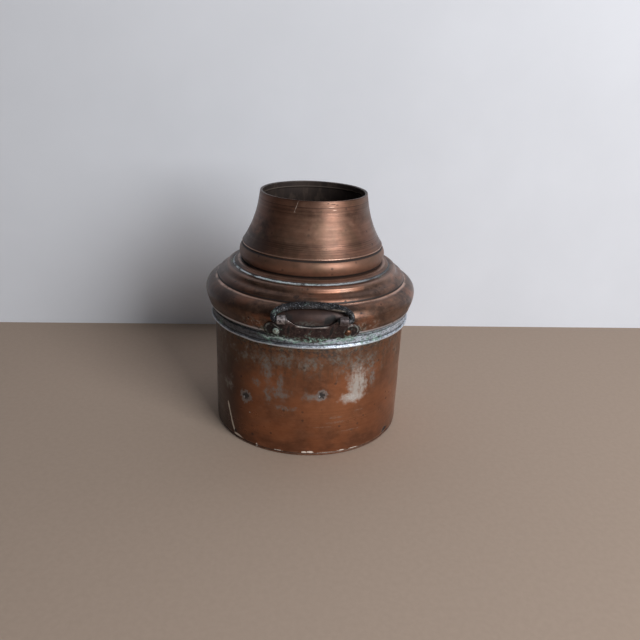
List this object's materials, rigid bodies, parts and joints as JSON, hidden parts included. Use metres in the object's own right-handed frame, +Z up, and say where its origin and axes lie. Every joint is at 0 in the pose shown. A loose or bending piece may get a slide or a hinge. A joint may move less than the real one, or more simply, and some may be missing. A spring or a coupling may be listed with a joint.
{
  "type": "milk can",
  "caption": "Wide-shouldered copper milk can with an open flared neck and two riveted drop handles whose iron bows swing out for carrying and pouring.",
  "frame": {"origin": "centre of the base, on the surface that the can stands on", "axes": "+Z up along the can's axis, -Y towards the front handle, +X to the right seen from the front"},
  "size_m": [0.2638, 0.2832, 0.3],
  "materials": {
    "drum_copper": "worn copper sheet, orange-brown with grey tin stains",
    "pan_copper": "worn copper sheet, rubbed bright at the corner",
    "shoulder_copper": "brown patinated copper",
    "neck_copper": "brown patinated copper with turned spinning lines",
    "hoop_tin": "dull tinned band with verdigris",
    "solder_tin": "dull grey-blue tin solder",
    "plate_copper": "red-brown copper with green verdigris at the edges",
    "rivet_copper": "worn copper",
    "bow_iron": "rough forged iron, grey with pale specks"
  },
  "bodies": {
    "can": {"base_pan": "pan_copper", "drum_wall": "drum_copper", "seam_hoop": "hoop_tin", "hoop_solder": "solder_tin", "shoulder_shell": "shoulder_copper", "collar_solder": "solder_tin", "neck": "neck_copper", "front_handle_plate": "plate_copper", "front_rivet_left": "rivet_copper", "front_rove_left": "rivet_copper", "front_rivet_right": "rivet_copper", "front_rove_right": "rivet_copper", "back_handle_plate": "plate_copper", "back_rivet_left": "rivet_copper", "back_rove_left": "rivet_copper", "back_rivet_right": "rivet_copper", "back_rove_right": "rivet_copper"},
    "front_bow": {"front_handle_bow": "bow_iron"},
    "back_bow": {"back_handle_bow": "bow_iron"}
  },
  "joints": [
    {"name": "front_bow_hinge", "type": "hinge", "parent": "can", "child": "front_bow", "pos_m": [0, -0.1364, 0.1841], "axis": [1, 0, 0], "range_deg": [0, 230]},
    {"name": "back_bow_hinge", "type": "hinge", "parent": "can", "child": "back_bow", "pos_m": [0, 0.1364, 0.1841], "axis": [-1, 0, 0], "range_deg": [0, 230]}
  ]
}
